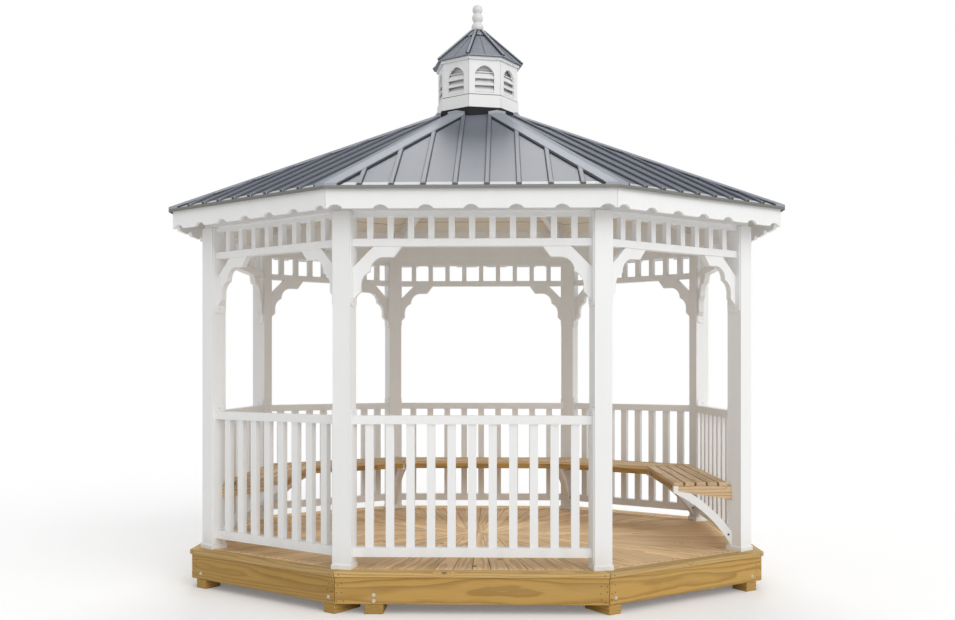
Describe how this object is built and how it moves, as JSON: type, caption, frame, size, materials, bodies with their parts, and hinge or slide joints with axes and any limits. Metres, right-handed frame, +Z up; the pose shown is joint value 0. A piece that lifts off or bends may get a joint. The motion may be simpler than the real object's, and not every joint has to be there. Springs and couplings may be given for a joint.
{
  "type": "gazebo",
  "caption": "Eight-sided garden gazebo with a timber deck, white posts, railings and fretwork, built-in benches, a ribbed metal roof and a louvred cupola.",
  "frame": {"origin": "centre of the plan at ground level, under the skids", "axes": "+Z up; -Y towards the long front bay; +X towards the right bay, with the entrance between the front and the right"},
  "size_m": [3.908, 3.148, 4.0021],
  "materials": {
    "white_trim": "satin",
    "pine": "matte",
    "roof_metal": "satin"
  },
  "bodies": {
    "root": {"skids": "pine", "rim_joists": "pine", "deck_border": "pine", "deck_floor": "pine", "post_front_left": "white_trim", "post_front_right": "white_trim", "post_right_front": "white_trim", "post_right_back": "white_trim", "post_back_right": "white_trim", "post_back_left": "white_trim", "post_left_back": "white_trim", "post_left_front": "white_trim", "railing_front": "white_trim", "railing_right": "white_trim", "railing_back_right": "white_trim", "railing_back": "white_trim", "railing_back_left": "white_trim", "railing_left": "white_trim", "railing_left_front": "white_trim", "fret_front": "white_trim", "fret_entrance": "white_trim", "fret_right": "white_trim", "fret_back_right": "white_trim", "fret_back": "white_trim", "fret_back_left": "white_trim", "fret_left": "white_trim", "fret_left_front": "white_trim", "corner_braces": "white_trim", "bench_right": "pine", "bench_back_right": "pine", "bench_back": "pine", "bench_back_left": "pine", "bench_left": "pine", "bench_brackets": "white_trim", "top_plates": "white_trim", "hip_rafters": "white_trim", "ceiling": "white_trim", "roof_sheet": "roof_metal", "hip_caps": "roof_metal", "fascia": "white_trim", "cupola_base": "white_trim", "cupola_walls": "white_trim", "cupola_louvers": "white_trim", "cupola_roof": "roof_metal", "finial": "white_trim"}
  },
  "joints": []
}
